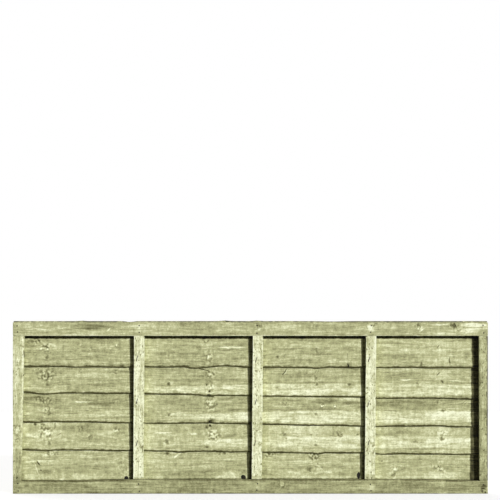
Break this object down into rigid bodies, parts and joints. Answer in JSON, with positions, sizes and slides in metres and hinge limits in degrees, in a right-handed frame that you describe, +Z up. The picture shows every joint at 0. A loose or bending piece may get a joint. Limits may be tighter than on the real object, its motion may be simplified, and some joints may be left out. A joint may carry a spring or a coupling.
{
  "type": "waney lap fence panel",
  "caption": "Waney lap fence panel: leaning overlapped timber slats held between a front and a back frame of rails, stiles and battens.",
  "frame": {"origin": "on the outer edge of the front frame's left stile, halfway up the panel and at the middle of the front frame's thickness", "axes": "+X along the panel from the left end to the right end as seen from the front, -Y out of the front face, +Z up"},
  "size_m": [1.83, 0.0502, 0.6666],
  "materials": {
    "rail": "sawn, pressure treated, green tinted",
    "stile": "sawn, pressure treated, green tinted",
    "batten": "sawn, pressure treated, pale",
    "slat": "sawn, pressure treated, olive green, with knots and a waney lower edge"
  },
  "bodies": {
    "root": {"top_rail_front": "rail", "bottom_rail_front": "rail", "left_stile_front": "stile", "right_stile_front": "stile", "batten_1_front": "batten", "batten_2_front": "batten", "batten_3_front": "batten", "top_rail_back": "rail", "bottom_rail_back": "rail", "left_stile_back": "stile", "right_stile_back": "stile", "batten_1_back": "batten", "batten_2_back": "batten", "batten_3_back": "batten", "slat_1": "slat", "slat_2": "slat", "slat_3": "slat", "slat_4": "slat", "slat_5": "slat"}
  },
  "joints": []
}
